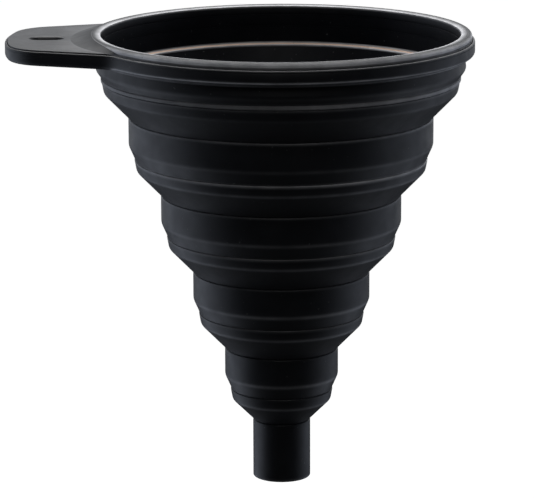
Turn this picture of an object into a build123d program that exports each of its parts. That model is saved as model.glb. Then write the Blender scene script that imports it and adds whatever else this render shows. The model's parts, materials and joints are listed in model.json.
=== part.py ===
from build123d import *

import os

# A collapsible silicone funnel: a rim with a tab handle, four stiff rings, five fold webs and a spout.
# The axis of the funnel is Z, the spout's tip is at the origin, and the tab points to -X. Each ring is
# joined to the next by a conical web that turns inside out when the funnel is pushed flat.

# Overall sizes, in mm
lip_height = 128.0
lip_radius = 50.1
rim_radius = 54.0
spout_radius = 8.15
spout_length = 16.9
wall = 1.35

# The stepped tiers: tier 1 is the skirt under the rim, and tiers 2 to 5 are the rings
first_tier_radius = 51.5
tier_step = 8.86
first_tier_top = 127.0
tier_pitch = 22.25
last_tier = 5

# How one tier is divided, as depths below its top edge
shoulder_depth = 7.8
fold_depth = 12.0
band_depth = 15.0

# How far each line of a tier stands in from the tier's radius
fold_inset = 1.85
band_inset = 2.1
ledge_inset = 3.05
cone_inset = 3.45

# Small shapes
ledge_rise = 2.0
ledge_drop = 0.2
fold_shoulder = 0.12
inner_corner_rise = 0.6
shoulder_round = 3.0
band_round = 2.2
edge_round = 0.3

# The rim's two layers: a crowned ring on a flat top, a bead round its edge, and a band below
crown_radius = 52.2
crown_height = 128.3
ring_edge_height = 128.0
ring_edge_round = 0.6
tab_top = 126.65
bead_top = 126.3
bead_round = 0.4
bead_reach = 0.65
parting_height = 125.6
rim_bottom = 122.3
rim_edge_round = 1.1
throat_radius = 48.75
throat_height = 117.2

# The skirt under the rim, with a thin lip where it comes out of the band
skirt_lip_radius = 52.4
skirt_lip_depth = 0.5
skirt_lip_slope = 0.4
skirt_shoulder_height = 118.4

# The tab and its slotted hang hole
tab_reach = 76.6
tab_corner_x = 72.8
tab_corner_y = 19.7
tab_root_x = 45.0
tab_root_y = 28.8
tab_corner_round = 13.0
tab_root_round = 10.0
hang_hole_length = 8.8
hang_hole_width = 4.8
hang_hole_x = 65.0
root_slack = 1.0


def tier_radius(tier):
    """Outer radius of a tier's cylinder, or the spout's below the last ring."""
    if tier > last_tier:
        return spout_radius
    return first_tier_radius - (tier - 1) * tier_step


def tier_top(tier):
    """Height of a tier's top edge, or the spout's below the last ring."""
    if tier > last_tier:
        return spout_length
    return first_tier_top - (tier - 1) * tier_pitch


def fold_height(tier):
    """Height of the fold line at the bottom of a tier."""
    return tier_top(tier) - fold_depth


def cone_top(tier):
    """The inner corner where a tier's inner cone starts, as (radius, height)."""
    return (tier_radius(tier) - cone_inset, fold_height(tier) + ledge_rise - ledge_drop)


def cone_foot(tier):
    """The inner corner where a tier's inner cone meets the tier below, as (radius, height)."""
    return (tier_radius(tier + 1) - wall, tier_top(tier + 1) + inner_corner_rise)


def cone_radius_at_fold(tier):
    """Radius of a tier's inner cone at the height of its fold line."""
    top_r, top_z = cone_top(tier)
    foot_r, foot_z = cone_foot(tier)
    share = (top_z - fold_height(tier)) / (top_z - foot_z)
    return top_r + share * (foot_r - top_r)


def corners_at(sketch, *places):
    """The corners of a flat profile that are at the given (radius, height) places."""
    picked = ShapeList()
    for radius, height in places:
        picked.append(sketch.vertices().sort_by_distance((radius, height, 0))[0])
    return picked


def make_ring(tier):
    """A stiff ring: a cylinder with a steep slope below it, and an inner ledge at the fold."""
    radius = tier_radius(tier)
    top = tier_top(tier)
    fold = fold_height(tier)
    with BuildPart() as ring:
        with BuildSketch(Plane.XZ) as profile:
            with BuildLine():
                Polyline(
                    (radius, top),
                    (radius, top - shoulder_depth),
                    (radius - fold_inset, fold),
                    (cone_radius_at_fold(tier), fold),
                    cone_top(tier),
                    (radius - ledge_inset, fold + ledge_rise),
                    (radius - wall, top - shoulder_depth),
                    (radius - wall, top),
                    close=True,
                )
            make_face()
            fillet(corners_at(profile, (radius, top)), edge_round)
            fillet(corners_at(profile, (radius, top - shoulder_depth)), shoulder_round)
        revolve(axis=Axis.Z)
    return ring


def make_web(tier):
    """A fold web: a short upright band and a cone, thick in the middle and thin at both folds."""
    radius = tier_radius(tier)
    fold = fold_height(tier)
    foot = tier_top(tier + 1)
    foot_radius = tier_radius(tier + 1)
    band = (radius - band_inset, tier_top(tier) - band_depth)
    with BuildPart() as web:
        with BuildSketch(Plane.XZ) as profile:
            with BuildLine():
                Polyline(
                    (radius - fold_inset + fold_shoulder, fold),
                    band,
                    (foot_radius - fold_shoulder, foot),
                    (foot_radius - wall, foot),
                    cone_foot(tier),
                    (cone_radius_at_fold(tier), fold),
                    close=True,
                )
            make_face()
            fillet(corners_at(profile, band), band_round)
        revolve(axis=Axis.Z)
    return web


def make_skirt():
    """The first tier: an upright wall under the rim, and a slope down to the first fold."""
    radius = tier_radius(1)
    fold = fold_height(1)
    lip_bottom = rim_bottom - skirt_lip_depth
    with BuildPart() as skirt:
        with BuildSketch(Plane.XZ) as profile:
            with BuildLine():
                Polyline(
                    (skirt_lip_radius, rim_bottom),
                    (skirt_lip_radius, lip_bottom),
                    (radius, lip_bottom - skirt_lip_slope),
                    (radius, skirt_shoulder_height),
                    (radius - fold_inset, fold),
                    (cone_radius_at_fold(1), fold),
                    cone_top(1),
                    (throat_radius, throat_height),
                    (throat_radius_at(rim_bottom), rim_bottom),
                    close=True,
                )
            make_face()
            fillet(corners_at(profile, (radius, skirt_shoulder_height)), shoulder_round)
        revolve(axis=Axis.Z)
    return skirt


def throat_radius_at(height):
    """Radius of the tapered inside of the rim at a height."""
    slope = (lip_radius - throat_radius) / (lip_height - throat_height)
    return throat_radius + slope * (height - throat_height)


def rim_outline():
    """The rim and its tab from above, as a face on the XY plane."""
    with BuildSketch() as outline:
        with BuildLine():
            ThreePointArc(
                (-tab_corner_x, -tab_corner_y), (-tab_reach, 0), (-tab_corner_x, tab_corner_y)
            )
            Polyline(
                (-tab_corner_x, tab_corner_y),
                (-tab_root_x, tab_root_y),
                (-tab_root_x, -tab_root_y),
                (-tab_corner_x, -tab_corner_y),
            )
        make_face()
        fillet(outline.vertices().group_by(Axis.X)[0], tab_corner_round)
        Circle(rim_radius)
        on_rim = [v for v in outline.vertices() if abs(Vector(v).length - rim_radius) < root_slack]
        fillet([v for v in on_rim if v.X < 0 and abs(v.Y) > tab_corner_y], tab_root_round)
    return outline.sketch


def make_throat():
    """The tapered space inside the rim, which is cut out of both of its layers."""
    with BuildPart() as throat:
        with BuildSketch(Plane.XZ):
            with BuildLine():
                Polyline(
                    (0, throat_height),
                    (throat_radius, throat_height),
                    (lip_radius, lip_height),
                    (0, lip_height),
                    close=True,
                )
            make_face()
        revolve(axis=Axis.Z)
    return throat.part


def make_hang_hole():
    """The slot through the tab, which is cut out of both of the rim's layers."""
    with BuildPart() as hole:
        with BuildSketch(Plane.XY.offset(rim_bottom)):
            with Locations((-hang_hole_x, 0)):
                SlotOverall(hang_hole_length, hang_hole_width)
        extrude(amount=tab_top - rim_bottom)
    return hole.part


os.makedirs("parts", exist_ok=True)

# The rim's upper layer: a bead round the edge, the flat top of the tab, and a ring up to the lip
with BuildPart() as rim_top:
    with BuildSketch(Plane.XY.offset(parting_height)):
        add(rim_outline())
    extrude(amount=bead_top - parting_height)
    fillet(rim_top.faces().sort_by(Axis.Z)[-1].outer_wire().edges(), bead_round)
    with BuildSketch(Plane.XY.offset(bead_top)):
        add(rim_outline())
        offset(amount=-bead_reach)
    extrude(amount=tab_top - bead_top)
    with BuildSketch(Plane.XZ) as crown:
        with BuildLine():
            Polyline(
                (throat_radius, parting_height),
                (throat_radius, lip_height),
                (lip_radius, lip_height),
                (crown_radius, crown_height),
                (rim_radius - bead_reach, ring_edge_height),
                (rim_radius - bead_reach, parting_height),
                close=True,
            )
        make_face()
        fillet(corners_at(crown, (rim_radius - bead_reach, ring_edge_height)), ring_edge_round)
    revolve(axis=Axis.Z)
    add(make_throat(), mode=Mode.SUBTRACT)
    add(make_hang_hole(), mode=Mode.SUBTRACT)
rim_top.part.label = "rim_top"
export_step(rim_top.part, "parts/rim_top.step")

# The rim's lower layer, with the underside of the tab
with BuildPart() as rim_band:
    with BuildSketch(Plane.XY.offset(rim_bottom)):
        add(rim_outline())
    extrude(amount=parting_height - rim_bottom)
    fillet(rim_band.faces().sort_by(Axis.Z)[0].outer_wire().edges(), rim_edge_round)
    add(make_throat(), mode=Mode.SUBTRACT)
    add(make_hang_hole(), mode=Mode.SUBTRACT)
rim_band.part.label = "rim_band"
export_step(rim_band.part, "parts/rim_band.step")

rim_skirt = make_skirt()
rim_skirt.part.label = "rim_skirt"
export_step(rim_skirt.part, "parts/rim_skirt.step")

for tier in range(1, last_tier + 1):
    web = make_web(tier)
    web.part.label = f"web_{tier}"
    export_step(web.part, f"parts/web_{tier}.step")

for tier in range(2, last_tier + 1):
    ring = make_ring(tier)
    ring.part.label = f"ring_{tier}"
    export_step(ring.part, f"parts/ring_{tier}.step")

with BuildPart() as spout:
    Cylinder(spout_radius, spout_length, align=(Align.CENTER, Align.CENTER, Align.MIN))
    Cylinder(
        spout_radius - wall,
        spout_length,
        align=(Align.CENTER, Align.CENTER, Align.MIN),
        mode=Mode.SUBTRACT,
    )
spout.part.label = "spout"
export_step(spout.part, "parts/spout.step")
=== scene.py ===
"""Looks of a collapsible silicone funnel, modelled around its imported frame.

Lengths are in millimetres and become metres where a mesh is made. The funnel's axis is Z, its spout's
tip is at the origin and its tab points to -X. A section is a list of corners in the plane of the axis.
"""

import json
import math

import bpy
from mathutils import Matrix, Vector

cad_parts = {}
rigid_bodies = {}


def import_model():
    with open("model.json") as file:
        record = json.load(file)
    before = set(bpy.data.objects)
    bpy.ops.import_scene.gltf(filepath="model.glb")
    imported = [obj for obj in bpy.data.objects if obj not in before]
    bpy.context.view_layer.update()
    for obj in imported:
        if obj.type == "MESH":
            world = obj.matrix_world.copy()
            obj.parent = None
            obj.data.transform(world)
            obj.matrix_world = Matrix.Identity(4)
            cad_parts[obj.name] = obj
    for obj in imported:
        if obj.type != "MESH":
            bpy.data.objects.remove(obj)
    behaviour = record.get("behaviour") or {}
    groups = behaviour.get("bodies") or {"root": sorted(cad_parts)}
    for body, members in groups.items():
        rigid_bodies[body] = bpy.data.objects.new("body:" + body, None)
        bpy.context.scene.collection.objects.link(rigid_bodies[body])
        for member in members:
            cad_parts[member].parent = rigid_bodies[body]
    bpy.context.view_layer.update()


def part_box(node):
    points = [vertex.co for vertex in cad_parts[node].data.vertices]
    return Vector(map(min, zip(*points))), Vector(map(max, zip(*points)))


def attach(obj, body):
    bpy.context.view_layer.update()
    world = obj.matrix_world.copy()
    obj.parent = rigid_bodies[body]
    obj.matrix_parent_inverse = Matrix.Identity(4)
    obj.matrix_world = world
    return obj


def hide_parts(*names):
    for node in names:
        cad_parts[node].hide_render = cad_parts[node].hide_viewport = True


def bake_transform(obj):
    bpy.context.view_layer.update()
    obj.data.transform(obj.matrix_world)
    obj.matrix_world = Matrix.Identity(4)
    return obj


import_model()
bpy.ops.object.select_all(action="DESELECT")

MM = 0.001
SIDES = 224
ARC_STEP = 12
MERGE_DISTANCE = 0.004
SAME_PLACE = 0.01
SHARP_ANGLE = 40
WALL = 1.35
LAST_TIER = 5

# The lines of a tier: how far they stand in from its radius, and how high they are
SHOULDER_DEPTH = 7.8
BAND_DROP = 3.0
FOLD_INSET = 1.85
BAND_INSET = 2.1
LEDGE_INSET = 3.05
CONE_INSET = 3.45
LEDGE_RISE = 2.0
LEDGE_DROP = 0.2
INNER_CORNER_RISE = 0.6
SHELF = 0.3

# How round a tier's corners are
TOP_ROUND = 0.4
SHOULDER_ROUND = 3.0
INNER_SHOULDER_ROUND = 2.6
LEDGE_ROUND = 0.15
CONE_TOP_ROUND = 0.2
CONE_FOOT_ROUND = 0.5
SHELF_ROUND = 0.22
BAND_ROUND = 2.0
SPOUT_TIP_ROUND = 0.45
SPOUT_BORE_ROUND = 0.35

# How pale the creases of tiers 1 to 5 are, from 0 to 1, and how wide each pale line is: partly rubbed
# wear, partly painted highlight
PALE_SHOULDER = (0.02, 0.07, 0.12, 0.19, 0.20)
PALE_TOP = (0.0, 0.20, 0.09, 0.05, 0.01)
PALE_FOLD = (0.10, 0.31, 0.12, 0.06, 0.01)
PALE_BAND = (0.02, 0.14, 0.17, 0.18, 0.16)
PALE_LEDGE = 0.15
PALE_TIP = 0.2
PALE_WIDTH = 0.5
FOLD_SHARE = 0.4
# below the rim the pale marks, painted highlight and wear, are made stronger towards +X, the side away
# from the tab
PALER_AWAY_FROM_TAB = 1.6

# The rim. The crease at the ledge inside is marked above 1, for its amber line, a painted reflection of
# warm light
RIM_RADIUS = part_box("rim_top")[1].x / MM
LIP_RADIUS = 50.1
THROAT_RADIUS = 48.75
THROAT_HEIGHT = 117.2
AMBER_REFLECTION_MARK = 2.0
LIP_HEIGHT = 128.0
LIP_ROUND = 0.22
CROWN_RADIUS = 52.2
CROWN_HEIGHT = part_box("rim_top")[1].z / MM
RING_EDGE_RADIUS = 53.5
RING_FOOT_RADIUS = 53.05
RING_EDGE_HEIGHT = 128.05
RING_EDGE_ROUND = 1.0
CROWN_ROUND = 2.0
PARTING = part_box("rim_top")[0].z / MM
RIM_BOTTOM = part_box("rim_band")[0].z / MM
TAB_TOP = 126.65
BEAD_TOP = 126.3
BEAD_ROUND = 0.45
BEAD_FLAT = 0.12
BEAD_DIP = 0.02
GROOVE_WIDTH = 0.2
GROOVE_DEPTH = 0.3
GROOVE_LEAN = 0.01
TAB_EDGE_ROUND = 0.08
PARTING_ROUND = 0.12
RIM_EDGE_ROUND = 1.1
FOOT_ROW = 0.4
SEAM_ROUND = 0.1
SEAM_FLAT = 0.4
FLAT_STRIP = 0.2

# The slope from the ring down to the tab
RAMP_REACH = 58.5
RAMP_ANGLE = math.radians(35)
RAMP_STEPS = 48
RAMP_TOP_SINK = 0.01
RAMP_FOOT_SINK = 0.03
RAMP_THICKNESS = 0.5

# The skirt under the rim
FIRST_TIER_RADIUS = 51.5
SKIRT_LIP_RADIUS = 52.45
SKIRT_LIP_DEPTH = 0.65
SKIRT_LIP_ROUND = 0.22
SKIRT_SHOULDER = 118.4
SKIRT_SHOULDER_ROUND = 1.6
FIRST_RIDGE_RADIUS = 50.2
FIRST_RIDGE_TOP = 116.1

# The tab and its hang hole
TAB_REACH = -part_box("rim_top")[0].x / MM
TAB_CORNER = Vector((-72.8, 19.7))
TAB_ROOT = Vector((-45.0, 28.8))
CORNER_ROUND = 13.0
ROOT_ROUND = 10.0
HOLE_X = -65.0
HOLE_LENGTH = 8.8
HOLE_WIDTH = 4.8
HOLE_ROUND = 0.9
HOLE_FOOT_ROUND = 0.4

# How many steps draw each stretch of half the outline, and a quarter turn at the hole's ends
TIP_STEPS = 14
CORNER_STEPS = 12
SIDE_STEPS = 14
ROOT_STEPS = 10
RIM_STEPS = 96
HOLE_STEPS = 12

# The silicone's colours, and the name of the attribute that marks painted highlight and wear on creases
# and edges, the amber painted reflection and the painted shade inside
DEEP_BLACK = (0.0022, 0.0026, 0.0042)
BLOOM_BLACK = (0.0045, 0.0051, 0.0070)
# pale grey for the creases and edges: partly rubbed wear, partly painted highlight
WEAR_AND_HIGHLIGHT_GREY = (0.75, 0.75, 0.77)
# painted reflection of warm light on the ledge inside the rim
AMBER_REFLECTION = (0.95, 0.62, 0.41)
DUST_GREY = (0.09, 0.09, 0.09)
LIGHT_AND_WEAR_NAME = "light_and_wear"
# the mark for painted shade inside the funnel, where the silicone reflects less
SHADED_INSIDE = -1.0

# The camera and the floor, in metres and degrees
CAMERA_PLACE = (-0.00402, -0.88, 0.2672)
CAMERA_TILT = 12.86
CAMERA_ROLL = -0.2
CAMERA_LENS = 215.6
FLOOR_HEIGHT = -0.8
FLOOR_WIDTH = 60


# ---------------------------------------------------------------- drawing by hand in edit mode

def start_piece(name, place):
    """A new piece that is one vertex at a place, in edit mode."""
    bpy.ops.mesh.primitive_plane_add(size=MM)
    piece = bpy.context.object
    piece.name = name
    bpy.ops.object.mode_set(mode="EDIT")
    bpy.ops.mesh.merge(type="CENTER")
    bpy.ops.transform.translate(value=Vector(place) * MM)
    return piece


def add_vertex(place):
    """One more loose vertex in the piece that is being edited, and the only one selected."""
    bpy.ops.mesh.select_all(action="DESELECT")
    bpy.ops.mesh.primitive_plane_add(size=MM)
    bpy.ops.mesh.merge(type="CENTER")
    bpy.ops.transform.translate(value=Vector(place) * MM)


def draw_to(start, places):
    """Extrudes the selected vertex, which is at the start, to each place in turn."""
    here = Vector(start)
    for place in places:
        there = Vector(place)
        bpy.ops.mesh.extrude_vertices_move(TRANSFORM_OT_translate={"value": (there - here) * MM})
        here = there


def spin_about(centre, degrees, steps):
    """Spins what is selected about an upright axis, anticlockwise from above."""
    bpy.ops.mesh.spin(
        steps=steps, angle=math.radians(degrees), axis=(0, 0, -1), use_auto_merge=True,
        center=(centre[0] * MM, centre[1] * MM, 0),
    )


def select_where(piece, test):
    """Selects just the vertices that pass a test on their place, and leaves the piece in edit mode."""
    bpy.ops.mesh.select_mode(type="VERT")
    bpy.ops.mesh.select_all(action="DESELECT")
    bpy.ops.object.mode_set(mode="OBJECT")
    for vertex in piece.data.vertices:
        vertex.select = test(vertex.co / MM)
    bpy.ops.object.mode_set(mode="EDIT")


def inset(steps):
    """Insets the selected face by each (thickness, depth) in turn."""
    for thickness, depth in steps:
        bpy.ops.mesh.inset(thickness=thickness * MM, depth=depth * MM)


def round_steps(radius, count=4):
    """The insets that turn a face's sharp edge into a quarter round."""
    angles = [math.pi / 2 * step / count for step in range(count + 1)]
    return [
        (radius * (math.cos(a) - math.cos(b)), radius * (math.sin(b) - math.sin(a)))
        for a, b in zip(angles, angles[1:])
    ]


def merge_doubles():
    """Selects the whole piece and merges the points that lie on each other."""
    bpy.ops.mesh.select_all(action="SELECT")
    bpy.ops.mesh.remove_doubles(threshold=MERGE_DISTANCE * MM)


def finish_piece():
    """Merges doubles, turns the faces outwards, smooths them and gives the piece its silicone."""
    piece = bpy.context.object
    merge_doubles()
    bpy.ops.mesh.normals_make_consistent(inside=False)
    bpy.ops.object.mode_set(mode="OBJECT")
    bpy.ops.object.shade_smooth_by_angle(angle=math.radians(SHARP_ANGLE))
    piece.data.materials.append(SILICONE)
    piece.data.attributes.new(LIGHT_AND_WEAR_NAME, "FLOAT", "POINT")
    bpy.ops.object.select_all(action="DESELECT")
    return piece


# ---------------------------------------------------------------- sections

def rounded(corners):
    """The points of a section, from corners given as (radius, height, rounding).

    The first and last corners of an open section have no rounding.
    """
    points = []
    for number, (radius, height, rounding) in enumerate(corners):
        here = Vector((radius, height))
        if not rounding:
            points.append(here)
            continue
        back = (Vector(corners[number - 1][:2]) - here).normalized()
        on = (Vector(corners[(number + 1) % len(corners)][:2]) - here).normalized()
        half = back.angle(on) / 2
        centre = here + (back + on).normalized() * rounding / math.sin(half)
        spoke = here + back * rounding / math.tan(half) - centre
        last = here + on * rounding / math.tan(half) - centre
        sweep = math.atan2(spoke.cross(last), spoke.dot(last))
        steps = max(3, round(math.degrees(abs(sweep)) / ARC_STEP))
        points += [centre + Matrix.Rotation(sweep * step / steps, 2) @ spoke for step in range(steps + 1)]
    return points


def divided(points, lines, longest=1.2, finest=0.2, reach=1.2):
    """A closed section with points added along its straight runs, and most of them near pale lines."""
    finer = []
    for here, there in zip(points, points[1:] + points[:1]):
        pieces = max(1, math.ceil((there - here).length / longest))
        for step in range(pieces):
            start, end = here.lerp(there, step / pieces), here.lerp(there, (step + 1) / pieces)
            middle = (start + end) / 2
            close = any((middle - Vector(line[:2])).length < reach for line in lines)
            parts = max(1, math.ceil((end - start).length / finest)) if close else 1
            finer += [start.lerp(end, part / parts) for part in range(parts)]
    return finer


def upright(section, centre=(0, 0)):
    """A section's points as places in the XZ plane, on the +X side of an axis."""
    return [(centre[0] + radius, centre[1], height) for radius, height in section]


def turned(name, corners, lines):
    """A ring: a closed section drawn with one vertex and spun round the axis, with its pale lines."""
    section = divided(rounded(corners), lines)
    places = upright(section + section[:1])
    start_piece(name, places[0])
    draw_to(places[0], places[1:])
    merge_doubles()
    spin_about((0, 0), 360, SIDES)
    ring = finish_piece()
    paint_light_and_wear(ring, lines)
    return ring


def draw_section(section, centre=(0, 0)):
    """An open section in the piece being edited, on the +X side of an axis."""
    places = upright(section, centre)
    add_vertex(places[0])
    draw_to(places[0], places[1:])
    bpy.ops.mesh.select_linked()


def turned_wall(section):
    """A wall in the piece being edited: an open section spun round the funnel's axis."""
    draw_section(section)
    spin_about((0, 0), 360, SIDES)


def slide_wall(distance):
    """Extrudes the selected section along X."""
    bpy.ops.mesh.extrude_region_move(TRANSFORM_OT_translate={"value": (distance * MM, 0, 0)})


def slot_wall(section):
    """The wall of the hang hole: an open section taken round a slot that runs along X."""
    straight = HOLE_LENGTH - HOLE_WIDTH
    right, left = (HOLE_X + straight / 2, 0), (HOLE_X - straight / 2, 0)
    draw_section(section, right)
    spin_about(right, 90, HOLE_STEPS)
    slide_wall(-straight)
    spin_about(left, 180, 2 * HOLE_STEPS)
    slide_wall(straight)
    spin_about(right, 90, HOLE_STEPS)
    merge_doubles()


# ---------------------------------------------------------------- the silicone

def new_node(tree, kind, values, **settings):
    """A shader node with its settings, and with the named sockets set."""
    node = tree.nodes.new(kind)
    for name, value in settings.items():
        setattr(node, name, value)
    for socket, value in values.items():
        node.inputs[socket].default_value = value
    return node


def ramp(tree, source, low, high, start, end):
    """A value that goes from start to end as the source goes from low to high."""
    node = new_node(
        tree, "ShaderNodeMapRange",
        {"From Min": low, "From Max": high, "To Min": start, "To Max": end},
    )
    tree.links.new(source, node.inputs["Value"])
    return node.outputs["Result"]


def mixed_colour(tree, share, first, second):
    """A colour between two, by a share."""
    node = new_node(tree, "ShaderNodeMix", {}, data_type="RGBA")
    tree.links.new(share, node.inputs["Factor"])
    for socket, colour in ((node.inputs["A"], first), (node.inputs["B"], second)):
        if isinstance(colour, tuple):
            socket.default_value = (*colour, 1)
        else:
            tree.links.new(colour, socket)
    return node.outputs["Result"]


def product(tree, first, second):
    """Two values multiplied."""
    node = tree.nodes.new("ShaderNodeMath")
    node.operation = "MULTIPLY"
    tree.links.new(first, node.inputs[0])
    tree.links.new(second, node.inputs[1])
    return node.outputs["Value"]


def noise(tree, place, size, detail=3.0):
    """Noise whose lumps are about that many millimetres across."""
    node = new_node(tree, "ShaderNodeTexNoise", {"Scale": 1 / (size * MM), "Detail": detail})
    tree.links.new(place, node.inputs["Vector"])
    return node.outputs["Fac"]


def make_silicone():
    """Matte black silicone: moulded grain, a faint bloom, dust, pale creases that are partly rubbed wear
    and partly painted highlight, an amber line of painted reflection, and painted shade inside, where it
    reflects less.
    """
    material = bpy.data.materials.new("black_silicone")
    material.use_nodes = True
    tree = material.node_tree
    shader = tree.nodes["Principled BSDF"]
    shader.inputs["IOR"].default_value = 1.43
    place = tree.nodes.new("ShaderNodeTexCoord").outputs["Object"]
    bloom = ramp(tree, noise(tree, place, 9.0), 0.35, 0.7, 0.0, 1.0)
    black = mixed_colour(tree, bloom, DEEP_BLACK, BLOOM_BLACK)
    light_and_wear = new_node(tree, "ShaderNodeAttribute", {}, attribute_name=LIGHT_AND_WEAR_NAME).outputs["Fac"]
    # painted highlight and wear: pale grey where the attribute marks creases and edges
    wear_and_highlight = product(tree, light_and_wear, ramp(tree, noise(tree, place, 6.0), 0.3, 0.65, 0.6, 1.0))
    black = mixed_colour(tree, wear_and_highlight, black, WEAR_AND_HIGHLIGHT_GREY)
    # painted reflection: the ledge's line turns amber where the mark is above 1
    amber_reflection = ramp(tree, light_and_wear, 1.0, 2.0, 0.0, 1.0)
    black = mixed_colour(tree, amber_reflection, black, AMBER_REFLECTION)
    dust = ramp(tree, noise(tree, place, 0.9, 1.0), 0.74, 0.80, 0.0, 0.5)
    black = mixed_colour(tree, dust, black, DUST_GREY)
    tree.links.new(black, shader.inputs["Base Color"])
    rough = ramp(tree, noise(tree, place, 5.0), 0.3, 0.7, 0.44, 0.54)
    tree.links.new(rough, shader.inputs["Roughness"])
    # painted shade: the inside reflects less light, so it looks darker
    tree.links.new(ramp(tree, light_and_wear, SHADED_INSIDE, 0.0, 0.12, 0.5), shader.inputs["Specular IOR Level"])
    grain = new_node(tree, "ShaderNodeBump", {"Strength": 0.15, "Distance": 0.03 * MM})
    tree.links.new(noise(tree, place, 0.35, 2.0), grain.inputs["Height"])
    tree.links.new(grain.outputs["Normal"], shader.inputs["Normal"])
    return material


SILICONE = make_silicone()


def paint_light_and_wear(piece, lines):
    """Marks how pale the piece's surface is, near lines given as (radius, height, strength, width).

    Under the rim, the pale marks are stronger on the side away from the tab. The pale marks are partly
    rubbed wear and partly painted highlight. What faces the axis is the inside of the
    funnel, and is marked for painted shade: it reflects less light, so it looks darker. A strength above 1
    turns amber, a painted reflection.
    """
    values = []
    for vertex in piece.data.vertices:
        radius, height = vertex.co.xy.length / MM, vertex.co.z / MM
        pale = max(
            strength * math.exp(-(math.hypot(radius - r, height - z) / width) ** 2)
            for r, z, strength, width in lines
        )
        # painted highlight and wear made stronger towards +X below the rim
        side = max(0.0, vertex.co.xy.normalized().x) if height < RIM_BOTTOM else 0.0
        pale_by_side = min(pale * (1 + PALER_AWAY_FROM_TAB * side ** 1.5), max(pale, 1.0))
        inside = vertex.normal.xy.dot(vertex.co.xy.normalized()) < -0.3
        # the inside is marked for painted shade, unless it carries a pale line
        values.append(SHADED_INSIDE if inside and pale < 0.05 else pale_by_side)
    piece.data.attributes[LIGHT_AND_WEAR_NAME].data.foreach_set("value", values)


# ---------------------------------------------------------------- rings and folds

def tier(number):
    """(outer radius, fold height, top height) of a tier. Tier 1 is the rim's skirt, the last the spout."""
    if number == 1:
        low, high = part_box("rim_skirt")
        return FIRST_TIER_RADIUS, low.z / MM, high.z / MM
    low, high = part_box(f"ring_{number}" if number <= LAST_TIER else "spout")
    return high.x / MM, low.z / MM, high.z / MM


def cone_top(number):
    """The inner corner where a tier's inner cone starts."""
    radius, fold, _ = tier(number)
    return radius - CONE_INSET, fold + LEDGE_RISE - LEDGE_DROP


def cone_foot(number):
    """The inner corner where a tier's inner cone meets the tier below."""
    radius, _, top = tier(number + 1)
    return radius - WALL, top + INNER_CORNER_RISE


def cone_radius_at_fold(number):
    """Radius of a tier's inner cone at the height of its fold."""
    (top_radius, top_height), (foot_radius, foot_height) = cone_top(number), cone_foot(number)
    share = (top_height - tier(number)[1]) / (top_height - foot_height)
    return top_radius + share * (foot_radius - top_radius)


def model_ring(number):
    """A stiff ring: its top edge is a small round shoulder, and a ledge runs round inside the fold."""
    radius, fold, top = tier(number)
    shoulder = top - SHOULDER_DEPTH
    ring = turned(f"fold_ring_{number}", [
        (radius, top, TOP_ROUND),
        (radius, shoulder, SHOULDER_ROUND),
        (radius - FOLD_INSET, fold, 0),
        (cone_radius_at_fold(number), fold, 0),
        (*cone_top(number), CONE_TOP_ROUND),
        (radius - LEDGE_INSET, fold + LEDGE_RISE, LEDGE_ROUND),
        (radius - WALL, shoulder, INNER_SHOULDER_ROUND),
        (radius - WALL, top, 0),
    ], [
        # pale lines: partly rubbed wear, partly painted highlight where the edges would catch the light
        (radius - 0.1, top - 0.1, PALE_TOP[number - 1], 0.9 * PALE_WIDTH),
        (radius - 0.45, shoulder - 0.2, PALE_SHOULDER[number - 1], PALE_WIDTH),
        (radius - FOLD_INSET, fold, FOLD_SHARE * PALE_FOLD[number - 1], 0.8 * PALE_WIDTH),
        (radius - LEDGE_INSET, fold + LEDGE_RISE, PALE_LEDGE, PALE_WIDTH),
    ])
    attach(ring, f"ring_{number}")
    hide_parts(f"ring_{number}")


def model_web(number):
    """A fold's web: an upright band over a cone. It turns inside out as the fold closes."""
    radius, fold, _ = tier(number)
    foot_radius, _, foot = tier(number + 1)
    web = turned(f"fold_web_{number}", [
        (radius - FOLD_INSET + SHELF, fold, SHELF_ROUND),
        (radius - BAND_INSET, fold - BAND_DROP, BAND_ROUND),
        (foot_radius - SHELF, foot, 0),
        (foot_radius - WALL, foot, 0),
        (*cone_foot(number), CONE_FOOT_ROUND),
        (cone_radius_at_fold(number), fold, 0),
    ], [
        # pale lines: partly rubbed wear, partly painted highlight where the edges would catch the light
        (radius - FOLD_INSET + 0.1, fold - 0.1, PALE_FOLD[number - 1], PALE_WIDTH),
        (radius - BAND_INSET - 0.4, fold - BAND_DROP - 0.1, PALE_BAND[number - 1], PALE_WIDTH),
    ])
    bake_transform(web)
    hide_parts(f"web_{number}")


def model_spout():
    """The straight outlet, with a rounded tip."""
    low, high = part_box("spout")
    radius, top = high.x / MM, high.z / MM
    spout = turned("spout_tube", [
        (radius, top, TOP_ROUND),
        (radius, 0, SPOUT_TIP_ROUND),
        (radius - WALL, 0, SPOUT_BORE_ROUND),
        (radius - WALL, top, 0),
    # the pale line at the tip is partly rubbed wear, partly painted highlight
    ], [(radius - 0.3, 0.1, PALE_TIP, PALE_WIDTH)])
    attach(spout, "spout")
    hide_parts("spout")


# ---------------------------------------------------------------- the rim and its tab

def throat_radius_at(height):
    """Radius of the tapered inside of the rim at a height."""
    slope = (LIP_RADIUS - THROAT_RADIUS) / (LIP_HEIGHT - THROAT_HEIGHT)
    return THROAT_RADIUS + slope * (height - THROAT_HEIGHT)


def meeting(start, along, centre, distance):
    """The point on a line, going backwards, that is a distance from a centre."""
    offset = start - centre
    reach = offset.dot(along)
    return start - along * (reach + math.sqrt(reach ** 2 - offset.length_squared + distance ** 2))


def heading(vector):
    """The direction of a flat vector, in degrees."""
    return math.degrees(math.atan2(vector.y, vector.x)) % 360


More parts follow.
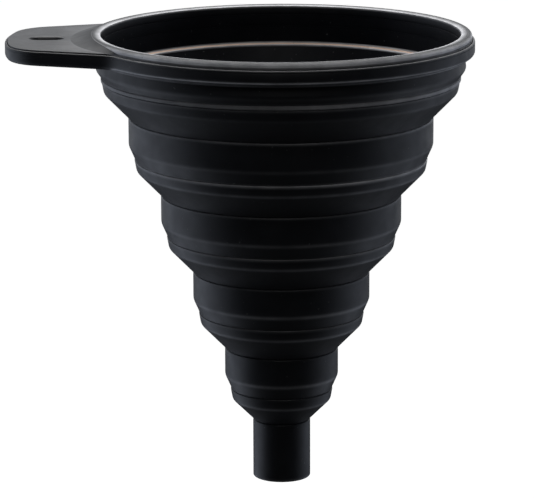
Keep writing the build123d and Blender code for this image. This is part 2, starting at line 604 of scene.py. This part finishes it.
def draw_outline(name, height):
    """The outline of the rim and its tab as a face: half is drawn by arcs and a side, and mirrored."""
    bulge = TAB_REACH + TAB_CORNER.x
    tip_radius = (TAB_CORNER.y ** 2 + bulge ** 2) / (2 * bulge)
    tip_centre = Vector((tip_radius - TAB_REACH, 0))
    along = (TAB_ROOT - TAB_CORNER).normalized()
    outward = Vector((-along.y, along.x))
    corner = meeting(
        TAB_CORNER - outward * CORNER_ROUND, along, tip_centre, tip_radius - CORNER_ROUND
    )
    root = meeting(TAB_ROOT + outward * ROOT_ROUND, along, Vector((0, 0)), RIM_RADIUS + ROOT_ROUND)
    tip = Vector((-TAB_REACH, 0, height))
    piece = start_piece(name, tip)
    spin_about(tip_centre, heading(corner - tip_centre) - 180, TIP_STEPS)
    spin_about(corner, heading(outward) - heading(corner - tip_centre), CORNER_STEPS)
    side_start = corner + outward * CORNER_ROUND
    side_end = root - outward * ROOT_ROUND
    shares = [step / SIDE_STEPS for step in range(SIDE_STEPS + 1)]
    places = [(*side_start.lerp(side_end, share), height) for share in shares]
    draw_to(places[0], places[1:])
    spin_about(root, (heading(-root) - heading(-outward)) % 360, ROOT_STEPS)
    spin_about((0, 0), -heading(root), RIM_STEPS)
    bpy.ops.mesh.select_all(action="SELECT")
    bpy.ops.mesh.symmetrize(direction="POSITIVE_Y", threshold=MERGE_DISTANCE * MM)
    bpy.ops.mesh.select_all(action="SELECT")
    bpy.ops.mesh.edge_face_add()
    return piece


def raised(piece, bottom, top):
    """Draws the outline's face up from the bottom to the top, and leaves the top face selected."""
    bpy.ops.mesh.extrude_region_move(TRANSFORM_OT_translate={"value": (0, 0, (top - bottom) * MM)})
    bpy.ops.mesh.select_all(action="SELECT")
    bpy.ops.mesh.normals_make_consistent(inside=False)
    select_where(piece, lambda place: place.z > (bottom + top) / 2)


def take_caps_off():
    """Removes the piece's two flat faces, which have a corner for every point of the outline."""
    bpy.ops.mesh.select_mode(type="FACE")
    bpy.ops.mesh.select_all(action="DESELECT")
    bpy.ops.mesh.select_face_by_sides(number=SIDES, type="GREATER")
    bpy.ops.mesh.delete(type="ONLY_FACE")
    bpy.ops.mesh.select_mode(type="VERT")


def fill_flat(piece, height):
    """Fills the flat between the open edges that are at a height."""
    bpy.ops.mesh.select_mode(type="EDGE")
    bpy.ops.mesh.select_all(action="DESELECT")
    bpy.ops.mesh.select_non_manifold(
        use_wire=False, use_multi_face=False, use_non_contiguous=False, use_verts=False
    )
    bpy.ops.object.mode_set(mode="OBJECT")
    points = piece.data.vertices
    for edge in piece.data.edges:
        level = all(abs(points[end].co.z / MM - height) < SAME_PLACE for end in edge.vertices)
        edge.select = edge.select and level
    bpy.ops.object.mode_set(mode="EDIT")
    bpy.ops.mesh.fill()
    bpy.ops.mesh.select_mode(type="VERT")


def model_ramp():
    """The slope from the ring down to the tab: two arcs bridged, and closed underneath."""
    end = Vector((-math.cos(RAMP_ANGLE), math.sin(RAMP_ANGLE)))
    shift = (RAMP_REACH ** 2 - RING_FOOT_RADIUS ** 2) / (2 * (RAMP_REACH + RING_FOOT_RADIUS * end.x))
    centre = Vector((-shift, 0))
    start = RING_FOOT_RADIUS * end
    start_piece("ramp", (*(CROWN_RADIUS * end), CROWN_HEIGHT - RAMP_TOP_SINK))
    spin_about((0, 0), 2 * math.degrees(RAMP_ANGLE), RAMP_STEPS)
    add_vertex((*start, TAB_TOP - RAMP_FOOT_SINK))
    spin_about(centre, 2 * (180 - heading(start - centre)), RAMP_STEPS)
    bpy.ops.mesh.select_all(action="SELECT")
    bpy.ops.mesh.bridge_edge_loops()
    bpy.ops.mesh.select_all(action="SELECT")
    bpy.ops.mesh.extrude_region_move(
        TRANSFORM_OT_translate={"value": (0, 0, -RAMP_THICKNESS * MM)}
    )
    bpy.ops.object.mode_set(mode="OBJECT")


def model_rim_top():
    """The rim's upper layer: a bead round a flat tab, and a crowned ring that rises to the lip."""
    foot = PARTING + PARTING_ROUND
    piece = draw_outline("rim_upper", foot)
    raised(piece, foot, BEAD_TOP - BEAD_ROUND)
    inset(round_steps(BEAD_ROUND))
    groove_wall = GROOVE_DEPTH + BEAD_DIP + TAB_TOP - BEAD_TOP - TAB_EDGE_ROUND
    inset([(BEAD_FLAT, -BEAD_DIP), (GROOVE_WIDTH, -GROOVE_DEPTH), (GROOVE_LEAN, groove_wall)])
    inset(round_steps(TAB_EDGE_ROUND, 3))
    select_where(piece, lambda place: abs(place.z - foot) < SAME_PLACE)
    inset(round_steps(PARTING_ROUND, 2) + [(FLAT_STRIP, 0)])
    take_caps_off()
    turned_wall(rounded([
        (RING_FOOT_RADIUS, TAB_TOP, 0),
        (RING_FOOT_RADIUS + 0.05, TAB_TOP + 0.16, 0),
        (RING_EDGE_RADIUS, RING_EDGE_HEIGHT, RING_EDGE_ROUND),
        (CROWN_RADIUS, CROWN_HEIGHT, CROWN_ROUND),
        (LIP_RADIUS, LIP_HEIGHT, LIP_ROUND),
        (throat_radius_at(LIP_HEIGHT - 0.5), LIP_HEIGHT - 0.5, 0),
        (throat_radius_at(PARTING), PARTING, SEAM_ROUND),
        (throat_radius_at(PARTING) + SEAM_FLAT, PARTING, 0),
    ]))
    slot_wall(rounded([
        (HOLE_WIDTH / 2 + 2 * HOLE_ROUND, TAB_TOP, 0),
        (HOLE_WIDTH / 2, TAB_TOP, HOLE_ROUND),
        (HOLE_WIDTH / 2, PARTING, SEAM_ROUND),
        (HOLE_WIDTH / 2 + SEAM_FLAT, PARTING, 0),
    ]))
    fill_flat(piece, TAB_TOP)
    fill_flat(piece, PARTING)
    bpy.ops.object.mode_set(mode="OBJECT")
    model_ramp()
    piece.select_set(True)
    bpy.context.view_layer.objects.active = piece
    bpy.ops.object.join()
    bpy.ops.object.mode_set(mode="EDIT")
    rim = finish_piece()
    # painted highlights along the lip and the ring's edge, and a faint one on the bead
    paint_light_and_wear(rim, [
        (LIP_RADIUS + 0.3, LIP_HEIGHT + 0.1, 1.0, 0.45),
        (RING_EDGE_RADIUS - 0.1, RING_EDGE_HEIGHT - 0.4, 1.0, 0.6),
        (RING_EDGE_RADIUS - 0.25, RING_EDGE_HEIGHT - 0.85, 1.0, 0.42),
        (RIM_RADIUS - 0.3, BEAD_TOP - 0.1, 0.2, 0.3),
    ])
    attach(rim, "rim")
    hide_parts("rim_top")


def model_rim_band():
    """The rim's lower layer, rounded underneath."""
    foot = RIM_BOTTOM + RIM_EDGE_ROUND
    piece = draw_outline("rim_lower", foot)
    raised(piece, foot, foot + FOOT_ROW)
    raised(piece, foot + FOOT_ROW, PARTING - PARTING_ROUND)
    inset(round_steps(PARTING_ROUND, 2) + [(FLAT_STRIP, 0)])
    select_where(piece, lambda place: abs(place.z - foot) < SAME_PLACE)
    inset(round_steps(RIM_EDGE_ROUND, 6) + [(FLAT_STRIP, 0)])
    take_caps_off()
    turned_wall(rounded([
        (throat_radius_at(PARTING) + SEAM_FLAT, PARTING, 0),
        (throat_radius_at(PARTING), PARTING, SEAM_ROUND),
        (throat_radius_at(RIM_BOTTOM), RIM_BOTTOM, SEAM_ROUND / 2),
        (throat_radius_at(RIM_BOTTOM) + SEAM_FLAT, RIM_BOTTOM, 0),
    ]))
    slot_wall(rounded([
        (HOLE_WIDTH / 2 + SEAM_FLAT, PARTING, 0),
        (HOLE_WIDTH / 2, PARTING, SEAM_ROUND),
        (HOLE_WIDTH / 2, RIM_BOTTOM, HOLE_FOOT_ROUND),
        (HOLE_WIDTH / 2 + 2 * HOLE_FOOT_ROUND, RIM_BOTTOM, 0),
    ]))
    fill_flat(piece, PARTING)
    fill_flat(piece, RIM_BOTTOM)
    band = finish_piece()
    # painted highlight along the band's bottom edge
    paint_light_and_wear(band, [(RIM_RADIUS - 0.05, RIM_BOTTOM + 0.4, 1.0, 0.28)])
    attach(band, "rim")
    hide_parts("rim_band")


def model_skirt():
    """The wall under the rim, from a thin lip down to the first fold, with a ledge inside."""
    fold = tier(1)[1]
    lip_bottom = RIM_BOTTOM - SKIRT_LIP_DEPTH
    skirt = turned("rim_wall", [
        (SKIRT_LIP_RADIUS, RIM_BOTTOM, 0),
        (SKIRT_LIP_RADIUS, lip_bottom, SKIRT_LIP_ROUND),
        (FIRST_TIER_RADIUS - 0.35, lip_bottom - 0.1, 0.3),
        (FIRST_TIER_RADIUS + 0.05, lip_bottom - 2.6, 0.7),
        (FIRST_TIER_RADIUS, SKIRT_SHOULDER, SKIRT_SHOULDER_ROUND),
        (FIRST_RIDGE_RADIUS - 0.25, FIRST_RIDGE_TOP + 0.1, 0.1),
        (FIRST_RIDGE_RADIUS, FIRST_RIDGE_TOP, 0.12),
        (FIRST_RIDGE_RADIUS, fold + 0.15, 0.12),
        (FIRST_TIER_RADIUS - FOLD_INSET, fold, 0),
        (cone_radius_at_fold(1), fold, 0),
        (*cone_top(1), CONE_TOP_ROUND),
        (THROAT_RADIUS, THROAT_HEIGHT, 0.3),
        (throat_radius_at(RIM_BOTTOM), RIM_BOTTOM, 0),
    ], [
        # painted highlights on the skirt's lip and first ridge; at the shoulder partly rubbed wear, partly
        # painted highlight
        (SKIRT_LIP_RADIUS, lip_bottom + 0.4, 0.3, 0.3),
        (FIRST_TIER_RADIUS - 0.45, SKIRT_SHOULDER - 0.2, PALE_SHOULDER[0], PALE_WIDTH),
        (FIRST_RIDGE_RADIUS, (FIRST_RIDGE_TOP + fold) / 2 + 0.1, 0.24, 0.7),
        # the ledge inside: an amber painted reflection of warm light
        (THROAT_RADIUS - 0.15, THROAT_HEIGHT - 0.2, AMBER_REFLECTION_MARK, PALE_WIDTH),
    ])
    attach(skirt, "rim")
    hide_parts("rim_skirt")


model_rim_top()
model_rim_band()
model_skirt()
for number in range(1, LAST_TIER + 1):
    model_web(number)
for number in range(2, LAST_TIER + 1):
    model_ring(number)
model_spout()


# ---------------------------------------------------------------- floor, light and camera

def glow(name, colour, strength):
    """A plain pale material that gives its own light to the camera."""
    material = bpy.data.materials.new(name)
    material.use_nodes = True
    shader = material.node_tree.nodes["Principled BSDF"]
    shader.inputs["Base Color"].default_value = (*colour, 1)
    shader.inputs["Emission Color"].default_value = (*colour, 1)
    shader.inputs["Emission Strength"].default_value = strength
    return material


def panel(name, width, height, place, aim, power, colour=(1, 1, 1)):
    """A soft rectangular studio light, aimed at a point."""
    light = bpy.data.lights.new(name, "AREA")
    light.shape = "RECTANGLE"
    light.size, light.size_y = width, height
    light.energy = power
    light.color = colour
    lamp = bpy.data.objects.new(name, light)
    lamp.location = place
    lamp.rotation_euler = (Vector(aim) - Vector(place)).to_track_quat("-Z", "Y").to_euler()
    lamp.visible_camera = False
    bpy.context.collection.objects.link(lamp)


def set_stage():
    """A white floor well below the tip, which isn't mirrored in the silicone."""
    bpy.ops.mesh.primitive_plane_add(size=FLOOR_WIDTH, location=(0, 0, FLOOR_HEIGHT))
    floor = bpy.context.object
    floor.name = "floor"
    floor.data.materials.append(glow("pale_floor", (1, 1, 1), 1.0))
    floor.visible_diffuse = False
    floor.visible_glossy = False
    floor.visible_shadow = False


def set_light():
    """Soft studio light: panels overhead, behind and above the front, and a strip at each side."""
    world = bpy.data.worlds.new("studio")
    world.use_nodes = True
    world.node_tree.nodes["Background"].inputs["Color"].default_value = (0.9, 0.95, 1.0, 1)
    world.node_tree.nodes["Background"].inputs["Strength"].default_value = 0.02
    bpy.context.scene.world = world
    panel("overhead", 1.4, 1.0, (0, 0.6, 1.2), (0, 0, 0.1), 24)
    panel("behind", 3.0, 1.6, (0, 1.8, 0.4), (0, 0, 0.1), 10.5, (0.92, 0.95, 1.0))
    panel("front", 1.2, 0.8, (0, -1.3, 1.5), (0, 0, 0.06), 6.2)
    panel("left", 1.6, 2.6, (-1.3, 0.5, -0.15), (0, 0, 0.05), 14, (0.78, 0.85, 1.0))
    panel("right", 1.6, 2.6, (1.3, 0.5, -0.15), (0, 0, 0.05), 8, (0.78, 0.85, 1.0))
    panel("below", 2.0, 2.0, (0, 0, -0.75), (0, 0, 0), 0.4)


def set_camera():
    """A long lens a little above the rim, turned very slightly about its own axis."""
    camera = bpy.data.objects.new("camera", bpy.data.cameras.new("camera"))
    camera.data.lens = CAMERA_LENS
    camera.location = CAMERA_PLACE
    level = Matrix.Rotation(math.radians(90 - CAMERA_TILT), 3, "X")
    roll = Matrix.Rotation(math.radians(CAMERA_ROLL), 3, "Z")
    camera.rotation_euler = (level @ roll).to_euler()
    bpy.context.collection.objects.link(camera)
    bpy.context.scene.camera = camera


set_stage()
set_light()
set_camera()
bpy.context.scene.view_settings.view_transform = "Standard"
